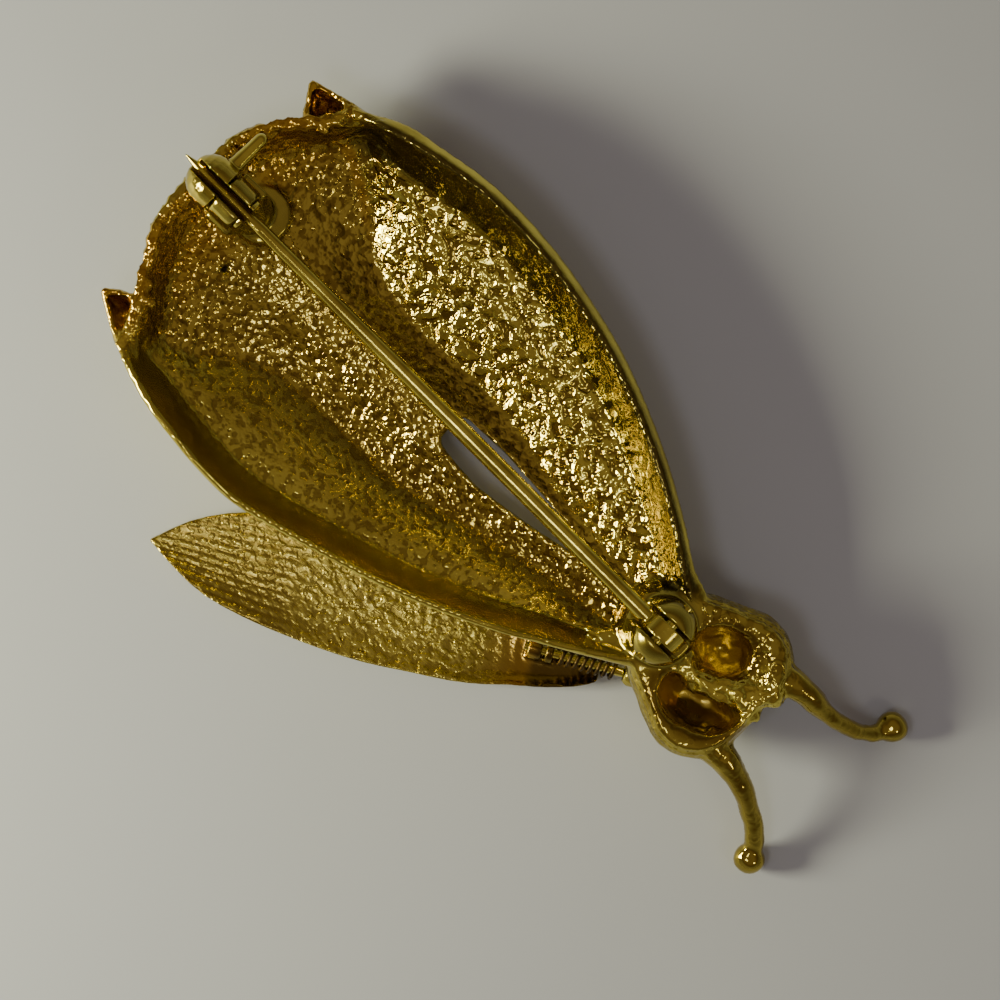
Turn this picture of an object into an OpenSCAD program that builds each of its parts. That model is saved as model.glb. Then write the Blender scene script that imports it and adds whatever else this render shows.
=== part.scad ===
// Insect brooch, lying on its front. x runs from the tail to the head, y across, z up from the table.

/* [Body casting] */
// Length from the tail corners to the neck
body_l = 34; // [30:0.5:38]
// Half width of the wing lobe on the +y side
lobe_right_w = 11.6; // [10.5:0.1:12.4]
// Half width of the wing lobe on the -y side
lobe_left_w = 11.9; // [11:0.1:12.6]
// Height of the lobes' rim above the table
rim_h = 6.5; // [6.2:0.1:7]
// Height of the tail's rim above the table
tail_rim_h = 5.4; // [5:0.1:5.6]
// How far the tail's arc bulges past its corners
tail_arc = 4.2; // [3.4:0.1:4.6]
// Half width of the tail's arc
tail_w = 8; // [7.4:0.1:8.4]
// Thickness of the cast wall
wall = 0.8; // [0.7:0.05:0.9]
// Thickness of the lobes' lip
lip = 0.35; // [0.3:0.05:0.5]
// Thickness of the tail's lip
tail_lip = 0.6; // [0.5:0.05:0.7]
// Width, seen from above, of the steep wall inside the right rim
band_right = 1.5; // [1.2:0.1:2]
// Width, seen from above, of the steep wall inside the left rim
band_left = 1.5; // [1.2:0.1:2]
// How far the right flank stands out under its lip
flank_right = 0.4; // [0.2:0.05:0.5]
// How far the left flank stands out under its lip
flank_left = 0.05; // [0.05:0.05:0.3]
// Radius of the beads round the tail
bead_r = 0.42; // [0.35:0.01:0.45]
// Beads round the tail
bead_n = 23; // [15:1:31]

/* [Slot between the lobes] */
// Where the slot starts, from the tail corners
slot_x = 16.7; // [16:0.1:18]
// Length of the slot
slot_l = 11; // [9:0.1:11.5]
// Widest opening of the slot
slot_w = 2.5; // [2:0.1:2.8]

/* [Head and antennae] */
// Radius of the domes over the eyes
eye_r = 3.05; // [2.8:0.05:3.2]
// Half the distance across between the eyes
eye_gap = 1.75; // [1.5:0.05:1.9]
// Depth of the eye cups
cup_depth = 3.4; // [2.8:0.1:3.6]
// Height of the head's rim above the table
head_rim_h = 5.7; // [5.4:0.1:6]
// Radius of the balls on the antennae
ball_r = 0.97; // [0.8:0.01:1.1]
// How far the antennae reach past the eyes
antenna_reach = 9.4; // [8:0.1:10]
// Radius of the antennae at their roots
antenna_r = 0.8; // [0.6:0.05:0.9]

/* [Pin] */
// Radius of the pin's wire
pin_r = 0.52; // [0.45:0.01:0.6]
// Radius of the pin just before the catch
pin_neck_r = 0.41; // [0.38:0.01:0.45]
// Radius of the pin inside the catch
pin_end_r = 0.33; // [0.3:0.01:0.36]
// Height of the pin's axis above the table
pin_h = 7.4; // [7.2:0.1:7.8]
// Distance of the pin's axis from the body's centre line
pin_y = 0.4; // [0.1:0.05:0.5]
// How far the pin's point stands out past the tail's arc
pin_past_tail = 0.7; // [0.6:0.1:1.5]
// Radius of the pin's knuckle
knuckle_r = 1.3; // [1.1:0.05:1.35]
// Width of the pin's knuckle
knuckle_w = 1.05; // [0.8:0.05:1.2]
// Radius of the rivet
rivet_r = 0.35; // [0.3:0.01:0.4]
// Width of one hinge ear
ear_w = 1.3; // [1:0.05:1.4]
// Length of a hinge ear
ear_l = 3.6; // [3.2:0.1:4]

/* [Catch] */
// Length of the catch's fixed barrel
barrel_l = 1.7; // [1.5:0.1:1.8]
// Wall of the catch's fixed barrel
barrel_wall = 0.42; // [0.35:0.01:0.45]
// Wall of the rotor's tube
rotor_wall = 0.6; // [0.5:0.01:0.65]
// Radius of the rotor's dome
dome_r = 1.6; // [1.45:0.05:1.65]
// Length of the rotor's dome
dome_l = 2.4; // [2:0.1:2.5]
// Reach of the rotor's lever from the pin's axis
lever_l = 4; // [3.5:0.1:4.3]
// Radius of the disc that the catch stands on
disc_r = 1.7; // [1.5:0.1:1.8]

/* [Side wing] */
// Length of the side wing from its hinge's neck end to its tip
wing_l = 28.5; // [26:0.5:30]
// Half width of the side wing
wing_w = 3.9; // [3.6:0.1:4]
// Thickness of the side wing
wing_t = 0.72; // [0.6:0.02:0.75]
// Angle that the side wing stands out from the body
wing_angle = 29.4; // [27:0.2:32]
// Height of the wing's axle above the table
axle_h = 2; // [1.9:0.05:2.2]
// Radius of the wing's axle
axle_r = 0.28; // [0.24:0.01:0.3]
// Radius of the spring's wire
wire_r = 0.13; // [0.1:0.01:0.14]
// Turns of the spring
spring_turns = 8; // [6:1:9]

/* [Fits] */
// Gap all round a running fit
running_gap = 0.05; // [0.04:0.01:0.08]
// Gap on each side of the pin's knuckle
side_gap = 0.2; // [0.12:0.01:0.25]
// Gap between a fixed pin and its hole
seat_gap = 0.02; // [0.02:0.01:0.04]

/* [Hidden] */
gold = [0.83, 0.66, 0.22];
pale_gold = [0.9, 0.76, 0.38];

// The body's sections. Lengths are shares of body_l, widths of each lobe's half width, heights of rim_h.
// The middle stands up between two valleys, and each lobe's floor climbs from its valley to the wall's foot.
// along, right width, left width, rim height, foot height, valley height, middle height, right and left valley
BODY = [
  [0.000, 0.820, 0.866, 0.880, 0.60, 0.52, 0.66, 0.740, 0.720],
  [0.045, 0.865, 0.912, 0.930, 0.56, 0.44, 0.60, 0.720, 0.690],
  [0.105, 0.918, 0.958, 0.975, 0.53, 0.32, 0.48, 0.620, 0.610],
  [0.170, 0.957, 0.982, 1.000, 0.51, 0.22, 0.40, 0.500, 0.500],
  [0.240, 0.991, 1.000, 1.000, 0.50, 0.16, 0.37, 0.330, 0.400],
  [0.320, 1.000, 0.996, 1.000, 0.50, 0.15, 0.38, 0.260, 0.375],
  [0.410, 0.983, 0.935, 1.000, 0.50, 0.17, 0.40, 0.250, 0.375],
  [0.500, 0.940, 0.861, 1.000, 0.50, 0.22, 0.43, 0.260, 0.365],
  [0.600, 0.870, 0.773, 1.000, 0.51, 0.28, 0.45, 0.220, 0.300],
  [0.700, 0.763, 0.660, 1.000, 0.53, 0.36, 0.49, 0.150, 0.215],
  [0.800, 0.629, 0.521, 0.990, 0.56, 0.43, 0.53, 0.125, 0.160],
  [0.890, 0.478, 0.370, 0.960, 0.61, 0.50, 0.58, 0.110, 0.130],
  [0.955, 0.345, 0.252, 0.920, 0.66, 0.57, 0.63, 0.095, 0.100],
  [1.000, 0.300, 0.164, 0.880, 0.70, 0.62, 0.65, 0.080, 0.080]
];
ALONG = 0;
RIGHT = 1;
LEFT = 2;
RIM = 3;
FOOT = 4;
VALLEY = 5;
MIDDLE = 6;
VALLEY_RIGHT = 7;
VALLEY_LEFT = 8;

// The slot's sides, as shares of slot_l and slot_w: along, right side, left side
SLOT = [
  [0.00, 0.40, 0.30], [0.04, 0.46, 0.40], [0.15, 0.48, 0.46], [0.32, 0.50, 0.50],
  [0.50, 0.46, 0.38], [0.68, 0.40, 0.25], [0.84, 0.33, 0.10], [0.96, 0.22, -0.04], [1.00, 0.12, -0.10]
];

// The side wing's sections: along as a share of wing_l, outer and inner half widths as shares of wing_w,
// height of the back's middle line as a share of axle_h
WING = [
  [0.039, 0.25, 0.14, 0.48], [0.075, 0.39, 0.16, 0.47], [0.140, 0.54, 0.18, 0.47], [0.215, 0.65, 0.22, 0.48],
  [0.262, 0.74, 0.40, 0.50], [0.330, 0.82, 0.62, 0.60], [0.420, 0.86, 0.85, 0.63], [0.510, 0.90, 0.97, 0.64],
  [0.600, 0.88, 1.00, 0.63], [0.690, 0.82, 0.96, 0.62], [0.775, 0.73, 0.88, 0.60], [0.860, 0.58, 0.70, 0.56],
  [0.930, 0.33, 0.44, 0.52], [0.980, 0.10, 0.14, 0.49], [1.000, 0.01, 0.01, 0.48]
];

// The antennae: share of antenna_reach, distance across from the eye's centre, height share of head_rim_h,
// radius share of antenna_r
ANTENNA_RIGHT = [
  [0.16, 1.1, 0.76, 1.30], [0.34, 1.4, 0.78, 1.20], [0.50, 1.6, 0.74, 0.98], [0.64, 1.6, 0.64, 0.80],
  [0.81, 1.9, 0.47, 0.72], [0.96, 2.65, 0.29, 0.68], [1.03, 3.8, 0.17, 0.72]
];
ANTENNA_LEFT = [
  [0.22, 1.0, 0.74, 1.30], [0.34, 0.9, 0.76, 1.25], [0.47, 1.0, 0.72, 1.05], [0.62, 1.4, 0.62, 0.85],
  [0.80, 2.25, 0.44, 0.78], [0.93, 3.15, 0.28, 0.74], [0.98, 4.0, 0.17, 0.74]
];

STATION_STEPS = 3;
TAIL_STEPS = 4;
BELLY_COLUMNS = 3;
FLOOR_COLUMNS = 5;
WALL_COLUMNS = 4;
WING_COLUMNS = 10;
RING_SIDES = 8;
EPS = 0.01;

// The hollow points of the lobes. Along as shares of tail_arc, across as shares of the corner's half width:
// side, inner foot along and across, outer foot along and across, point along and across
TIPS = [
  [1, -0.42, 0.70, -0.05, 0.955, -0.68, 0.885],
  [-1, -0.40, 0.72, -0.05, 0.965, -0.69, 0.820]
];

// Places worked out from the sizes
pivot_x = body_l - 0.35;
eye_x = body_l + 3.6;
eye_y = 0.4;
eye_h = head_rim_h - 1.8;
stem_tip_x = -tail_arc - pin_past_tail;
barrel_r = pin_end_r + running_gap + rotor_wall + running_gap;
barrel_x = -barrel_l - 0.1;
wing_root = [body_l - 0.3, -3.0, axle_h];
spring_r = axle_r + running_gap + wire_r + 0.06;
spring_from = 0.15;
spring_l = 3.75;
root_lug = [spring_from + spring_l + 0.1, spring_from + spring_l + 0.55];
tail_lug = [root_lug[1] + 0.25, root_lug[1] + 1.05];
axle_l = tail_lug[1] + 0.25;
box_low = [stem_tip_x, wing_low_y(), 0];
box_high = [antenna_end(ANTENNA_RIGHT, 1)[0] + ball_r, lobe_right_w, 0];

// A smooth curve through a column of a table, at row number r
function at_row(table, column, r) =
  let (n = len(table) - 1, i = min(floor(r), n - 1), t = r - i,
    a = table[max(i - 1, 0)][column], b = table[i][column],
    c = table[i + 1][column], d = table[min(i + 2, n)][column])
  0.5 * (2 * b + (c - a) * t + (2 * a - 5 * b + 4 * c - d) * t * t + (3 * b - a - 3 * c + d) * t * t * t);

function mix(a, b, t) = a + (b - a) * t;
function ease(t) = let (k = min(max(t, 0), 1)) k * k * (3 - 2 * k);
function unit(v) = v / max(norm(v), 1e-9);

// The inside of the casting at section r. side is 1 or -1, and the column runs from the centre line to the rim
function side_w(r, side) = side > 0 ? at_row(BODY, RIGHT, r) * lobe_right_w : at_row(BODY, LEFT, r) * lobe_left_w;
function valley_y(r, side) =
  side > 0 ? at_row(BODY, VALLEY_RIGHT, r) * lobe_right_w : at_row(BODY, VALLEY_LEFT, r) * lobe_left_w;
function lip_at(r) = mix(tail_lip, lip, ease(r));
function flank(side) = side > 0 ? flank_right : flank_left;

function inside(r, side, column) =
  let (full = side_w(r, side) - 0.9 * lip_at(r) - flank(side), belly = min(valley_y(r, side), 0.92 * full),
    band = min(side > 0 ? band_right : band_left, 0.45 * (full - belly)),
    floor_w = full - belly - band,
    belly_share = min(column / BELLY_COLUMNS, 1),
    floor_share = min(max((column - BELLY_COLUMNS) / FLOOR_COLUMNS, 0), 1),
    wall_share = max((column - BELLY_COLUMNS - FLOOR_COLUMNS) / WALL_COLUMNS, 0),
    y = belly * belly_share + floor_w * floor_share + band * wall_share,
    rim = at_row(BODY, RIM, r) * rim_h,
    foot = at_row(BODY, FOOT, r) * rim_h,
    valley = at_row(BODY, VALLEY, r) * rim_h,
    middle = at_row(BODY, MIDDLE, r) * rim_h,
    belly_z = mix(valley, middle, 0.5 + 0.5 * cos(165 * belly_share) - 0.017 * belly_share),
    floor_z = mix(valley, foot, 0.8 * sin(90 * floor_share) + 0.2 * floor_share),
    wall_z = mix(foot, rim, pow(wall_share, 0.85)),
    z = wall_share > 0 ? wall_z : floor_share > 0 ? floor_z : belly_z,
    across = min(y / (tail_w - 0.8 * tail_lip), 1),
    back = at_row(BODY, ALONG, r) * body_l,
    x = back - (tail_arc - tail_lip) * (1 - pow(across, 3)) * pow(1 - back / body_l, 3),
    tail = 1 - ease(r / 0.95))
  [x, side * y, mix(z, tail_rim_h, tail)];

// Rows of sections, close together at the tail, and columns from one rim to the other
function sections() =
  concat([for (i = [0:TAIL_STEPS - 1]) i / TAIL_STEPS],
    [for (i = [0:(len(BODY) - 2) * STATION_STEPS]) 1 + i / STATION_STEPS]);
COLUMNS = BELLY_COLUMNS + FLOOR_COLUMNS + WALL_COLUMNS;
function column_side(j) = j < 0 ? -1 : 1;

// The outside lies one wall under the floor, one lip outside the rim and one tail lip behind the tail's arc
function outward(point, rim_share, tail_share) =
  let (side = point[1] < 0 ? -1 : 1, lean = 74 * ease(1.2 * rim_share),
    flat = unit([-1, side * 3 * tail_arc / tail_w * pow(min(abs(point[1]) / tail_w, 1), 2), 0]),
    under = [0, side * sin(lean), -cos(lean)])
  unit(mix(under, flat, tail_share));
function rim_share_at(j) = max((abs(j - COLUMNS) - BELLY_COLUMNS - FLOOR_COLUMNS) / WALL_COLUMNS, 0);
function wall_step(point, rim_share, tail_share) =
  mix(mix(wall, lip, ease(rim_share)), tail_lip, tail_share) * outward(point, rim_share, tail_share);

// Under the lip the flank stands out sideways, so that it shows from above
function flank_push(r, side, rim_share) =
  let (bump = rim_share > 0.99 ? 0 : sin(90 * min(1.5 * rim_share, 1)))
  [0, side * bump * (0.3 * wall + 1.5 * flank(side)) * ease(r / 2), 0];

// A closed skin between two grids of points that share one layout
module skin(upper, lower) {
  n = len(upper) - 1;
  m = len(upper[0]) - 1;
  w = m + 1;
  k = (n + 1) * w;
  points = concat([for (row = upper) for (p = row) p], [for (row = lower) for (p = row) p]);
  faces = concat(
    [for (i = [0:n - 1]) for (j = [0:m - 1]) for (f = cell(upper, i, j, i * w + j, w)) f],
    [for (i = [0:n - 1]) for (j = [0:m - 1]) for (f = cell(lower, i, j, k + i * w + j, w)) [f[0], f[2], f[1]]],
    [for (i = [0:n - 1]) for (f = side_faces(i * w, (i + 1) * w, k)) f],
    [for (i = [0:n - 1]) for (f = side_faces((i + 1) * w + m, i * w + m, k)) f],
    [for (j = [0:m - 1]) for (f = side_faces(j + 1, j, k)) f],
    [for (j = [0:m - 1]) for (f = side_faces(n * w + j, n * w + j + 1, k)) f]);
  polyhedron(points, faces);
}
// A cell's two triangles, split along its shorter diagonal. a is its first corner's number, w a row's length
function cell(grid, i, j, a, w) =
  norm(grid[i][j] - grid[i + 1][j + 1]) < norm(grid[i][j + 1] - grid[i + 1][j])
    ? [[a, a + 1, a + w + 1], [a, a + w + 1, a + w]]
    : [[a, a + 1, a + w], [a + 1, a + w + 1, a + w]];
function side_faces(a, b, k) = [[a, b, k + b], [a, k + b, k + a]];

// A tube of round sections through points with a radius each: [x, y, z, radius]
module tube(path) {
  n = len(path) - 1;
  rings = [for (i = [0:n])
    let (p = [path[i][0], path[i][1], path[i][2]],
      ahead = path[min(i + 1, n)], behind = path[max(i - 1, 0)],
      d = unit([ahead[0] - behind[0], ahead[1] - behind[1], ahead[2] - behind[2]]),
      u = unit(cross(d, abs(d[2]) > 0.9 ? [1, 0, 0] : [0, 0, 1])), v = cross(u, d))
    [for (s = [0:RING_SIDES - 1]) let (a = 360 * s / RING_SIDES) p + path[i][3] * (cos(a) * u + sin(a) * v)]];
  points = [for (ring = rings) for (p = ring) p];
  faces = concat(
    [[for (s = [0:RING_SIDES - 1]) RING_SIDES - 1 - s]],
    [[for (s = [0:RING_SIDES - 1]) n * RING_SIDES + s]],
    [for (i = [0:n - 1]) for (s = [0:RING_SIDES - 1]) let (t = (s + 1) % RING_SIDES)
      [i * RING_SIDES + s, (i + 1) * RING_SIDES + t, (i + 1) * RING_SIDES + s]],
    [for (i = [0:n - 1]) for (s = [0:RING_SIDES - 1]) let (t = (s + 1) % RING_SIDES)
      [i * RING_SIDES + s, i * RING_SIDES + t, (i + 1) * RING_SIDES + t]]);
  polyhedron(points, faces);
}

// Everything is drawn about the tail corners, then set with the middle of its box over the origin
module placed() {
  translate(-(box_low + box_high) / 2) children();
}

module blob(place, r) {
  translate(place) sphere(r = r, $fn = 10);
}

module shell() {
  stations = sections();
  upper = [for (r = stations) [for (j = [-COLUMNS:COLUMNS]) inside(r, column_side(j), abs(j))]];
  lower = [for (i = [0:len(stations) - 1]) [for (j = [0:2 * COLUMNS])
    upper[i][j] + wall_step(upper[i][j], rim_share_at(j), 1 - ease(stations[i]))
      + flank_push(stations[i], column_side(j - COLUMNS), rim_share_at(j))]];
  skin(upper, lower);
}

module slot() {
  right = [for (row = SLOT) [slot_x + row[0] * slot_l, row[1] * slot_w]];
  left = [for (i = [len(SLOT) - 1:-1:0]) [slot_x + SLOT[i][0] * slot_l, -SLOT[i][2] * slot_w]];
  translate([0, 0, -EPS]) linear_extrude(rim_h) polygon(concat(right, left));
}

// One bead for each step round the tail's arc
module beads() {
  for (i = [0:bead_n - 1]) {
    across = 2 * (i + 0.5) / bead_n - 1;
    x = -(tail_arc - 0.75 * bead_r) * (1 - pow(abs(across), 3));
    translate([x, (tail_w - 0.65) * across, tail_rim_h - 0.95 * bead_r]) sphere(r = bead_r, $fn = 8);
  }
}

// The hollow point of a lobe that stands out past the tail's corner
module lobe_tip(row) {
  half = side_w(0, row[0]);
  top = tail_rim_h - 0.45;
  inner = [row[1] * tail_arc, row[2] * half, top];
  outer = [row[3] * tail_arc, row[4] * half, top];
  point = [row[5] * tail_arc, row[6] * half, top - 0.1];
  deep = (inner + outer + point) / 3 + [0.5, 0, -1.9];
  middle = (inner + outer + point) / 3;
  scale([1, row[0], 1]) difference() {
    hull() {
      blob(inner + [0.3, 0.2, 0], 0.4);
      blob(outer, 0.3);
      blob(outer + [1.6, 0.3, -0.1], 0.3);
      blob(point, 0.26);
      blob(deep, 0.6);
    }
    hull() {
      for (corner = [inner, outer, point]) {
        blob(mix(corner, middle, 0.34), 0.14);
        blob(mix(corner, middle, 0.34) + [0, 0, 2], 0.14);
      }
      blob(deep + [0, 0, 0.45], 0.25);
    }
  }
}

module head() {
  right_eye = [eye_x + 0.5, eye_y + eye_gap + 0.3, eye_h];
  left_eye = [eye_x + 0.5, eye_y - eye_gap, eye_h];
  difference() {
    hull() {
      translate([body_l - 0.4, 0.5, eye_h]) sphere(r = eye_r - 0.2, $fn = 24);
      translate(right_eye) sphere(r = eye_r, $fn = 24);
      translate(left_eye) sphere(r = eye_r - 0.05, $fn = 24);
    }
    translate([body_l - 6, -8, head_rim_h]) cube([20, 16, 6]);
    eye_cup(right_eye + [-1.2, -0.5, 0], 0.58 * eye_r, 0.5 * eye_r);
    eye_cup(left_eye + [-0.1, 0.35, 0], 0.85 * eye_r, 0.55 * eye_r);
    translate([eye_x + 0.2, eye_y, head_rim_h + 1.6 * eye_r]) scale([1, 1.2, 1]) sphere(r = 1.9 * eye_r, $fn = 30);
    translate([eye_x + 2 * eye_r, eye_y + 0.2 * eye_r, -EPS]) cylinder(r = 0.92 * eye_r, h = 2 * rim_h, $fn = 36);
  }
}

// An eye cup is an oval bowl that is open at the head's rim and reaches cup_depth under it
module eye_cup(place, half_long, half_wide) {
  translate([place[0], place[1], head_rim_h]) rotate([0, 0, 20]) scale([half_long, half_wide, cup_depth])
    sphere(r = 1, $fn = 22);
}

// The rough bar of metal between the cups, from the hinge to the nose
module solder_bar() {
  top = head_rim_h - 0.45;
  hull() {
    blob([body_l + 1.5, 0.25, top - 0.7], 0.8);
    blob([eye_x - 0.7, -0.3, top - 0.7], 0.7);
  }
  hull() {
    blob([eye_x - 0.7, -0.3, top - 0.7], 0.7);
    blob([eye_x + 1.4, 0.8, top - 0.35], 0.85);
  }
  hull() {
    blob([eye_x + 1.4, 0.8, top - 0.35], 0.85);
    blob([eye_x + 3.1, 0.75, top - 0.4], 0.5);
  }
  hull() {
    blob([eye_x + 1.6, 1.2, top - 0.3], 0.7);
    blob([eye_x + 3.2, 2.3, top - 0.4], 0.75);
  }
}

function antenna_path(table, side) =
  [for (row = table) [eye_x + row[0] * antenna_reach, eye_y + side * (eye_gap + row[1]), row[2] * head_rim_h,
    row[3] * antenna_r]];
function antenna_end(table, side) = antenna_path(table, side)[len(table) - 1];
function smooth_path(path, steps) =
  [for (i = [0:(len(path) - 1) * steps]) [for (c = [0:3]) at_row(path, c, i / steps)]];

module antenna(table, side) {
  end = antenna_end(table, side);
  tube(smooth_path(antenna_path(table, side), 2));
  translate([end[0], end[1], ball_r]) sphere(r = ball_r, $fn = 16);
}

// The split dome whose two ears hold the pin's rivet, with the plate under it
module hinge_ears() {
  inner = knuckle_w / 2 + side_gap;
  slot_floor = pin_h - knuckle_r - 0.3;
  difference() {
    hull() {
      translate([pivot_x, pin_y, pin_h]) scale([ear_l / 2, inner + ear_w, knuckle_r + 0.05]) sphere(r = 1, $fn = 28);
      translate([pivot_x - 0.2, pin_y, 0.55 * rim_h]) cylinder(r = inner + ear_w - 0.1, h = 1, $fn = 28);
    }
    translate([pivot_x, pin_y, pin_h]) rotate([90, 0, 0])
      cylinder(r = rivet_r + seat_gap, h = 3 * (inner + ear_w), center = true, $fn = 48);
    translate([pivot_x - 4, pin_y - inner, slot_floor]) cube([8, 2 * inner, 6]);
  }
}

// Soft ridges, like folds of cloth, beside the lower ear
module neck_folds() {
  for (i = [0:2]) {
    start = [body_l - 3.6 + 0.5 * i, -2.6 + 0.55 * i, 0.74 * rim_h];
    end = [body_l - 0.4 + 0.3 * i, -1.9 + 0.35 * i, 0.8 * rim_h];
    hull() {
      blob(start, 0.16);
      blob(end, 0.2);
    }
  }
}

// The catch's fixed parts: a disc, a leaning post, and a barrel that is open above the pin
module catch_mount() {
  disc_at = [0.3, 1.05, 0.47 * rim_h];
  saddle_h = pin_h - barrel_r;
  saddle_w = barrel_r + barrel_wall + 0.25;
  difference() {
    union() {
      translate(disc_at) cylinder(r = disc_r, h = 0.75, $fn = 40);
      hull() {
        translate(disc_at + [-0.2, -0.2, 0.4]) cylinder(r = 0.62 * disc_r, h = 0.3, $fn = 24);
        translate([barrel_x, pin_y - saddle_w, saddle_h - 0.35]) cube([barrel_l, 2 * saddle_w, 0.3]);
      }
      translate([barrel_x, pin_y, pin_h]) rotate([0, 90, 0]) cylinder(r = barrel_r + barrel_wall, h = barrel_l, $fn = 40);
    }
    translate([barrel_x - 1, pin_y, pin_h]) rotate([0, 90, 0]) cylinder(r = barrel_r, h = barrel_l + 2, $fn = 40);
    pin_way(barrel_x - 1, barrel_l + 2);
  }
}

// The open way that lets the pin lift out of the catch
module pin_way(from_x, length) {
  half = pin_end_r + 2 * running_gap;
  translate([from_x, pin_y - half, pin_h]) cube([length, 2 * half, 4]);
}

// The boss on the neck that holds the wing's axle
module axle_boss() {
  hull() {
    in_wing_frame() translate([-2.7 * axle_r, 0, 0]) sphere(r = 2.7 * axle_r, $fn = 16);
    translate([body_l + 0.4 * eye_r, -0.46 * eye_r, 1.2 * axle_h]) sphere(r = 0.5 * axle_h, $fn = 16);
  }
}

module body_casting() {
  color(gold) placed() difference() {
    union() {
      difference() {
        shell();
        slot();
      }
      beads();
      for (row = TIPS) lobe_tip(row);
      head();
      solder_bar();
      antenna(ANTENNA_RIGHT, 1);
      antenna(ANTENNA_LEFT, -1);
      neck_folds();
      hinge_ears();
      catch_mount();
      axle_boss();
    }
    in_wing_frame() translate([-1.2, 0, 0]) rotate([0, 90, 0]) cylinder(r = axle_r + seat_gap, h = 3, $fn = 32);
  }
}

module pin_rivet() {
  reach = knuckle_w / 2 + side_gap + ear_w;
  color(pale_gold) placed() translate([pivot_x, pin_y + reach, pin_h]) rotate([90, 0, 0])
    cylinder(r = rivet_r, h = 2 * reach, $fn = 48);
}

// The pin is one turned wire, given as places along it with the radius there, and a flat knuckle
module pin_stem() {
  thin_x = 0.18 * barrel_l;
  neck_x = 0.7 * barrel_l;
  thick_x = 0.35 * body_l;
  point_x = stem_tip_x + 2.5 * pin_r;
  wire = [[stem_tip_x, 0.04], [point_x, pin_end_r], [thin_x, pin_end_r], [neck_x, pin_neck_r], [thick_x, pin_r],
    [pivot_x - 0.46 * knuckle_r, pin_r]];
  outline = concat([[0, wire[0][0]]], [for (p = wire) [p[1], p[0]]], [[0, wire[len(wire) - 1][0]]]);
  color(pale_gold) placed() translate([0, pin_y, pin_h]) difference() {
    union() {
      translate([pivot_x, knuckle_w / 2, 0]) rotate([90, 0, 0]) cylinder(r = knuckle_r, h = knuckle_w, $fn = 64);
      rotate([0, 90, 0]) rotate_extrude($fn = 48) polygon(outline);
    }
    translate([pivot_x, 0, 0]) rotate([90, 0, 0])
      cylinder(r = rivet_r + running_gap, h = 2 * knuckle_w, center = true, $fn = 48);
  }
}

// The rotor turns inside the barrel and round the pin. At rest its way lies over the pin, so the pin can lift
module catch_rotor() {
  tube_r = pin_end_r + running_gap + rotor_wall;
  bore_r = pin_end_r + running_gap;
  collar_l = 0.3;
  lever_x = barrel_x - running_gap - 0.55;
  back_x = barrel_x + barrel_l + running_gap;
  front_x = barrel_x - running_gap;
  color(gold) placed() translate([0, pin_y, pin_h]) difference() {
    union() {
      translate([front_x - 0.2, 0, 0]) rotate([0, 90, 0]) cylinder(r = tube_r, h = back_x - front_x + 0.4, $fn = 48);
      translate([back_x, 0, 0]) rotate([0, 90, 0]) cylinder(r = barrel_r + 0.15, h = collar_l, $fn = 48);
      translate([front_x, 0, 0]) rotate([0, -90, 0]) dome(dome_r, dome_l);
      translate([lever_x, 0.6 * dome_r, 0]) rotate([-90, 0, 0])
        cylinder(r1 = 0.53, r2 = 0.4, h = lever_l - 0.6 * dome_r - 0.4, $fn = 32);
      translate([lever_x, lever_l - 0.4, 0]) sphere(r = 0.4, $fn = 32);
    }
    translate([front_x - 3, 0, 0]) rotate([0, 90, 0]) cylinder(r = bore_r, h = 8, $fn = 48);
    translate([0, -pin_y, -pin_h]) pin_way(front_x - 3, 8);
  }
}

// A rounded cap of radius r and length l on the z axis
module dome(r, l) {
  flat = 0.3 * l;
  rotate_extrude($fn = 64) polygon(concat([[0, 0], [r, 0]],
    [for (a = [0:15:75]) [r * cos(a), flat + (l - flat) * sin(a)]], [[0, l]]));
}

// The wing's own frame: x runs from the hinge's neck end to the tip, y towards the body, z up
module in_wing_frame() {
  translate(wing_root) rotate([0, 0, 180 + wing_angle]) scale([1, -1, 1]) children();
}

function wing_point(r, across) =
  let (outer = at_row(WING, 1, r) * wing_w, inner = at_row(WING, 2, r) * wing_w,
    y = mix(inner, -outer, across), edge = pow(abs(2 * across - 1), 3),
    rise = (across > 0.5 ? 0.42 : 0.15) * min(outer, 1.5) / 1.5)
  [at_row(WING, 0, r) * wing_l, y, at_row(WING, 3, r) * axle_h - axle_h + rise * edge];

// The wing's lowest y in the body's frame, worked out from its outer edge
function wing_low_y() =
  min([for (r = [0:0.25:len(WING) - 1]) let (p = wing_point(r, 1))
    wing_root[1] - p[0] * sin(wing_angle) + p[1] * cos(wing_angle)]);

module side_wing() {
  steps = 2 * (len(WING) - 1);
  upper = [for (i = [0:steps]) [for (j = [0:WING_COLUMNS]) wing_point(i / 2, 1 - j / WING_COLUMNS)]];
  lower = [for (row = upper) [for (p = row) p - [0, 0, wing_t]]];
  lug_r = axle_r + running_gap + 0.32;
  color(pale_gold) placed() in_wing_frame() difference() {
    union() {
      skin(upper, lower);
      for (lug = [root_lug, tail_lug]) {
        translate([lug[0], 0, 0]) rotate([0, 90, 0]) cylinder(r = lug_r, h = lug[1] - lug[0], $fn = 40);
        translate([lug[0], -lug_r, -0.6 * axle_h]) cube([lug[1] - lug[0], 1.6 * lug_r, 0.6 * axle_h]);
      }
    }
    translate([-1, 0, 0]) rotate([0, 90, 0]) cylinder(r = axle_r + running_gap, h = 20, $fn = 40);
  }
}

module wing_axle() {
  color(pale_gold) placed() in_wing_frame() translate([-1.1, 0, 0]) rotate([0, 90, 0])
    cylinder(r = axle_r, h = axle_l + 1.1, $fn = 40);
}

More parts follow.
